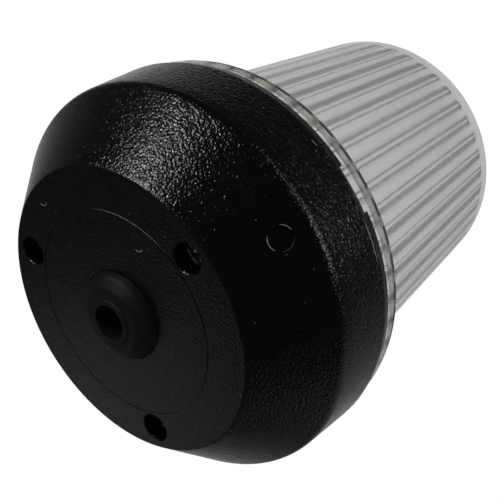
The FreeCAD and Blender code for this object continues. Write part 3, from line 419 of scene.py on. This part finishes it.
def board_laminate():
    """Dark lacquer on both faces of the board; its cut edge is painted dark, with one pale ply at the
    underside as a painted highlight of the lit edge.
    """
    material, g = new_material("board_laminate")
    where = g.coords()
    ply_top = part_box("circuit_board")[0].z / MM + PALE_PLY_HIGHLIGHT
    # Painted highlight: a pale ply where the cut edge catches the light, on an edge painted dark.
    in_highlight_ply = g.spread(g.split(where)["Z"], 1.0, 0.0, across=(ply_top - PLY_BLEND, ply_top + PLY_BLEND))
    pale = g.mix_colour(g.noise(where, per_mm=1.5, detail=3.0), *PLY_HIGHLIGHT_COLOURS)
    edge = g.mix_colour(in_highlight_ply, EDGE_DARK, pale)
    weave = g.add("TexWave", Vector=where, Scale=0.35, Distortion=1.5, Detail=1.0).outputs["Fac"]
    lacquer = g.mix_colour(weave, *LACQUERS)
    facing = g.split(g.add("TexCoord").outputs["Normal"])["Z"]
    on_face = g.spread(g.math("ABSOLUTE", facing), 0.0, 1.0, across=EDGE_TO_FACE)
    shader = g.add("BsdfPrincipled", Base_Color=g.mix_colour(on_face, edge, lacquer),
                   Roughness=g.spread(on_face, EDGE_ROUGHNESS, LACQUER_ROUGHNESS),
                   Normal=g.bump(g.noise(where, per_mm=3.0), depth=0.01))
    g.finish("OutputMaterial", shader)
    return material


def pale_highlight_and_scratch():
    """Pale paint for the painted highlights on the base and for a scratch, paler than the moulding round it.
    """
    material, g = new_material("pale_highlight_and_scratch")
    patches = g.noise(g.coords(), per_mm=2.0, detail=3.0)
    shader = g.add("BsdfPrincipled", Base_Color=g.mix_colour(patches, *map(grey, HIGHLIGHT_AND_SCRATCH_GREYS)),
                   Roughness=g.spread(patches, *HIGHLIGHT_AND_SCRATCH_ROUGHNESS))
    g.finish("OutputMaterial", shader)
    return material


def speckled(name, colour, roughness, variation, metallic):
    """Plain finish whose colour and roughness wander a little, with a fine grain."""
    material, g = new_material(name)
    where = g.coords()
    darker = tuple(c * (1.0 - variation) for c in colour) + (1.0,)
    lighter = tuple(min(1.0, c * (1.0 + variation)) for c in colour) + (1.0,)
    shader = g.add("BsdfPrincipled", Metallic=metallic,
                   Base_Color=g.mix_colour(g.noise(where, per_mm=0.4, detail=3.0), darker, lighter),
                   Roughness=g.spread(g.noise(where, per_mm=1.2), *(roughness * worn for worn in WORN)),
                   Normal=g.bump(g.noise(where, per_mm=6.0), depth=0.004))
    g.finish("OutputMaterial", shader)
    return material


wear("base_housing", base_plastic())
wear("cable_grommet", rubber("grommet_rubber", 0.002, 0.2))
wear("lens_seal", rubber("seal_rubber", 0.02, 0.4))
wear("lens", lens_plastic())
wear("flash_tube", tube_glass())
wear("circuit_board", board_laminate())
for name, colour, roughness, variation, metallic, wearers in FINISHES:
    finish = speckled(name, colour, roughness, variation, metallic)
    for node in wearers:
        wear(node, finish)


# ---- painted highlights and a scratch on the base ----
highlight_and_scratch = pale_highlight_and_scratch()
base_pieces = [nodes["base_housing"]]


def bead(name, points, radius, facing):
    """Thin raised line through points, tapered at both ends; facing gives its surface's normal."""
    mesh = bmesh.new()
    rings = []
    for i, point in enumerate(points):
        along = (points[min(i + 1, len(points) - 1)] - points[max(i - 1, 0)]).normalized()
        out = facing(point)
        across = along.cross(out).normalized()
        share = i / (len(points) - 1)
        thick = radius * max(BEAD_TIP, min(1.0, share / BEAD_TAPER, (1.0 - share) / BEAD_TAPER))
        ring = []
        for k in range(BEAD_SIDES):
            across_by, out_by = polar(thick, 360.0 * k / BEAD_SIDES)
            ring.append(mesh.verts.new((point + across * across_by + out * out_by) * MM))
        rings.append(ring)
    for first, second in zip(rings, rings[1:]):
        for k in range(BEAD_SIDES):
            beside = (k + 1) % BEAD_SIDES
            mesh.faces.new((first[k], first[beside], second[beside], second[k]))
    mesh.faces.new(rings[0][::-1])
    mesh.faces.new(rings[-1])
    bmesh.ops.recalc_face_normals(mesh, faces=mesh.faces)
    data = bpy.data.meshes.new(name)
    mesh.to_mesh(data)
    mesh.free()
    for face in data.polygons:
        face.use_smooth = True
    data.materials.append(highlight_and_scratch)
    thing = show(name, data)
    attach(thing, "beacon_base")
    base_pieces.append(thing)


def arc(centre, radius, first, last, count=24):
    """Points along a level arc."""
    turns = [first + (last - first) * i / (count - 1) for i in range(count)]
    return [Vector((*polar(radius, turn), 0.0)) + Vector(centre) for turn in turns]


def downwards(point):
    return Vector((0.0, 0.0, -1.0))


def outwards(point):
    return Vector((point.x, point.y, 0.0)).normalized()


def mark_face():
    """Painted highlights: the lit crescents of two nicks and the lit edge of the ring round the grommet."""
    back_x, back_y = polar(NICK_CURVE_R, NICK_ANGLE)
    for number, (x, y) in enumerate(NICKS, 1):
        points = arc((x - back_x, y - back_y, 0.0), NICK_CURVE_R,
                     NICK_ANGLE - NICK_HALF_TURN, NICK_ANGLE + NICK_HALF_TURN, count=14)
        bead("face_nick_%d" % number, points, NICK_BEAD_R, downwards)
    edge = arc((0.0, 0.0, 0.0), WITNESS_EDGE_R, *WITNESS_HIGHLIGHT_TURN, count=60)
    bead("witness_edge_highlight", edge, WITNESS_BEAD_R, downwards)


def mark_cone():
    """Painted highlights on the lit parts of the rim round the blanked hole."""
    up = Vector((*polar(CONE_SLOPE, MARK_ANGLE), 1.0)).normalized()
    along = Vector((*polar(1.0, MARK_ANGLE + 90.0), 0.0))
    off = along.cross(up).normalized()
    middle = Vector((*polar(FACE_R + CONE_SLOPE * MARK_Z, MARK_ANGLE), MARK_Z)) - off * MARK_SINK
    for name, first, last, radius in MARK_RIM_HIGHLIGHTS:
        turns = [math.radians(first + (last - first) * i / HIGHLIGHT_STEPS) for i in range(HIGHLIGHT_STEPS + 1)]
        points = [middle + (up * math.cos(turn) + along * math.sin(turn)) * MARK_RIM_R for turn in turns]
        bead(name, points, radius, lambda point: off)


def mark_band():
    """A painted highlight along the lip's lower edge, and a slanting scratch."""
    bead("rim_lip_highlight", arc((0.0, 0.0, LIP_HIGHLIGHT_Z), RIM_R, *LIP_HIGHLIGHT_TURN), LIP_HIGHLIGHT_BEAD_R, outwards)
    (angle, height), (angle_step, height_step) = SCRATCH_START, SCRATCH_STEP
    points = [Vector((*polar(RIM_R - SCRATCH_SINK, angle + angle_step * i), height + height_step * i))
              for i in range(SCRATCH_POINTS)]
    bead("band_scratch", points, SCRATCH_BEAD_R, outwards)


mark_face()
mark_cone()
mark_band()


# ---- surroundings, lamps and camera ----
def make_world():
    """White to the camera, a room in reflections and through the lens, even light elsewhere."""
    world = bpy.data.worlds.new("studio")
    bpy.context.scene.world = world
    world.use_nodes = True
    g = Graph(world.node_tree)
    where = g.add("TexCoord").outputs["Generated"]
    nearness = g.vector_math("DOT_PRODUCT", where, tuple(-v for v in CAMERA_AHEAD))
    place = g.spread(nearness, 0.0, 1.0, across=(-1.0, 1.0))
    parts = g.split(where)
    above = g.mix_colour(g.spread(parts["X"], 0.0, 1.0, across=LEFT_TO_RIGHT_X),
                         g.ramp(place, ROOM_ABOVE_LEFT), g.ramp(place, ROOM_ABOVE_RIGHT))
    mirrored = g.mix_colour(g.spread(parts["Z"], 0.0, 1.0, across=BELOW_TO_ABOVE_Z),
                            g.ramp(place, ROOM_BELOW), above)
    through = g.ramp(place, ROOM_THROUGH_LENS)
    ray = g.add("LightPath").outputs
    shader = g.add("Background", Color=grey(1.0), Strength=EVEN_LIGHT)
    rays = [("Is Glossy Ray", mirrored), ("Is Transmission Ray", through), ("Is Camera Ray", grey(1.0))]
    for kind, colour in rays:
        shader = g.mix_shaders(ray[kind], shader, g.add("Background", Color=colour, Strength=1.0))
    g.finish("OutputWorld", shader)


def floor_surface():
    """Pale from above, clear from below, and fading out with distance."""
    material, g = new_material("floor_pale")
    from_below = g.add("NewGeometry").outputs["Backfacing"]
    faded = g.spread(g.vector_math("LENGTH", g.coords()), 0.0, 1.0, across=FLOOR_FADES)
    pale = g.add("BsdfPrincipled", Base_Color=grey(FLOOR_GREY), Roughness=0.9)
    clear = g.add("BsdfTransparent")
    g.finish("OutputMaterial", g.mix_shaders(g.math("MAXIMUM", from_below, faded), pale, clear))
    return material


def make_floor():
    """Floor under the grommet that carries the lamp's shadow and shows in no reflection."""
    mesh = bpy.data.meshes.new("floor")
    corners = [(-1, -1), (1, -1), (1, 1), (-1, 1)]
    mesh.from_pydata([(x * FLOOR_HALF * MM, y * FLOOR_HALF * MM, FLOOR_Z * MM) for x, y in corners], [],
                     [(0, 1, 2, 3)])
    mesh.materials.append(floor_surface())
    floor = show("floor", mesh)
    floor.visible_shadow = False
    floor.visible_diffuse = False
    floor.visible_glossy = False


def area_lamp(name, azimuth, elevation, distance, width, height, watts, glossy):
    """Rectangular lamp that faces the beacon's middle."""
    lamp = bpy.data.lights.new(name, "AREA")
    lamp.shape = "RECTANGLE"
    lamp.size = width
    lamp.size_y = height
    lamp.energy = watts
    thing = show(name, lamp)
    towards = direction(azimuth, elevation)
    thing.location = Vector(LAMPS_AIM) + towards * distance
    thing.rotation_euler = (-towards).to_track_quat("-Z", "Y").to_euler()
    thing.visible_transmission = False
    thing.visible_glossy = glossy
    return thing


def light_only(lamps, things):
    """Lets these lamps light these things and nothing else."""
    lit = bpy.data.collections.new("lit_" + lamps[0].name)
    for thing in things:
        lit.objects.link(thing)
    for lamp in lamps:
        lamp.light_linking.receiver_collection = lit


def make_camera():
    """Camera fitted to the photo's face, holes, rims and outline."""
    data = bpy.data.cameras.new("camera")
    data.sensor_width = SENSOR_MM
    data.lens = FOCAL_PX / IMAGE_PX * SENSOR_MM
    data.clip_start = 0.01
    data.clip_end = 20.0
    camera = show("camera", data)
    ahead = Vector(CAMERA_AHEAD).normalized()
    right = ahead.cross(Vector(CAMERA_UP)).normalized()
    up = right.cross(ahead)
    turn = Matrix((right, up, -ahead)).transposed().to_4x4()
    camera.matrix_world = Matrix.Translation(Vector(CAMERA_AT) * MM) @ turn
    bpy.context.scene.camera = camera


make_world()
make_floor()
make_camera()
lamps = {row[0]: area_lamp(*row) for row in LAMPS}
light_only([lamps[name] for name in BASE_LAMPS], base_pieces)
bpy.context.scene.view_settings.view_transform = "Standard"
